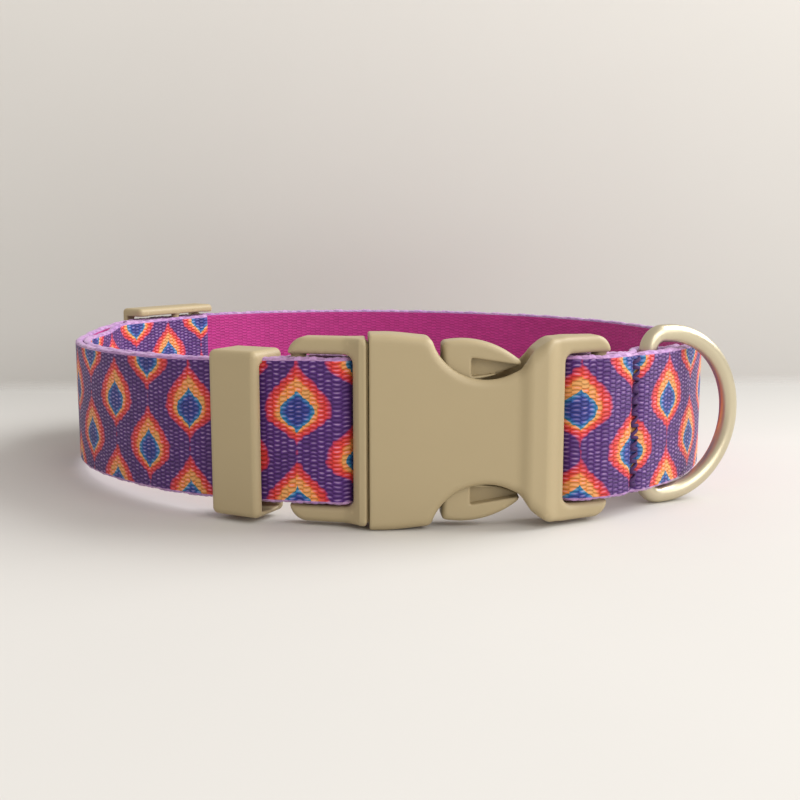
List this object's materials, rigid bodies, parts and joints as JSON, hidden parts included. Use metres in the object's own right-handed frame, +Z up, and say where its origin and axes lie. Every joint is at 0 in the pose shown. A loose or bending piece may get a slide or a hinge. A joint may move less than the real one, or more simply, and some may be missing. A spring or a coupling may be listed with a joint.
{
  "type": "dog collar",
  "caption": "Adjustable flat webbing dog collar, closed into a ring, with a side-release buckle, keeper loop, three-bar slider and D-ring.",
  "frame": {"origin": "centre of the footprint, on the surface that the collar's lower edge rests on", "axes": "+Z up across the webbing's width; +X along the buckle from plug to socket; the buckle faces -Y"},
  "size_m": [0.1328, 0.1268, 0.033],
  "materials": {
    "moulded_plastic": "satin khaki",
    "ring_metal": "satin pale gold",
    "printed_webbing": "woven, dye-printed",
    "plain_webbing": "woven, solid magenta",
    "thread": "bar-tack stitching"
  },
  "bodies": {
    "root": {"socket_shell": "moulded_plastic", "web_socket_fold": "printed_webbing", "web_ring_outer": "printed_webbing", "web_ring_inner": "printed_webbing", "tack_socket": "thread", "tack_ring": "thread", "web_right": "plain_webbing", "web_back": "plain_webbing", "web_left": "printed_webbing"},
    "plug": {"plug_frame": "moulded_plastic", "web_plug_fold": "printed_webbing", "web_flank_outer": "printed_webbing", "web_flank_inner": "printed_webbing", "web_bend_outer": "printed_webbing", "web_bend_inner": "printed_webbing"},
    "prong_upper": {"prong_upper": "moulded_plastic"},
    "prong_lower": {"prong_lower": "moulded_plastic"},
    "keeper": {"keeper_loop": "moulded_plastic"},
    "slider": {"slider_frame": "moulded_plastic", "web_slider_tail": "printed_webbing", "web_slider_fold": "printed_webbing", "tack_slider": "thread"},
    "d_ring": {"d_ring": "ring_metal"}
  },
  "joints": [
    {"name": "buckle_pull", "type": "slide", "parent": "root", "child": "plug", "axis": [-1, 0, 0], "range_m": [0, 0.03]},
    {"name": "prong_upper_flex", "type": "hinge", "parent": "plug", "child": "prong_upper", "pos_m": [-0.00347, -0.05911, 0.0254], "axis": [0, 1, 0], "range_deg": [0, 6], "stiffness_Nm_per_rad": 0.5, "springref_deg": -1.72},
    {"name": "prong_lower_flex", "type": "hinge", "parent": "plug", "child": "prong_lower", "pos_m": [-0.00347, -0.05911, 0.0076], "axis": [0, -1, 0], "range_deg": [0, 6], "stiffness_Nm_per_rad": 0.5, "springref_deg": -1.72},
    {"name": "keeper_slide", "type": "hinge", "parent": "plug", "child": "keeper", "pos_m": [0.01978, 0.02524, 0.0147], "axis": [0, 0, 1], "range_deg": [-22.5, 0]},
    {"name": "slider_adjust", "type": "hinge", "parent": "root", "child": "slider", "pos_m": [-0.01042, 0.00563, 0.0147], "axis": [0, 0, 1], "range_deg": [-8, 8]},
    {"name": "d_ring_swing", "type": "hinge", "parent": "root", "child": "d_ring", "pos_m": [0.04604, -0.04697, 0.0165], "axis": [0, 0, 1], "range_deg": [-123, 1.5]}
  ]
}
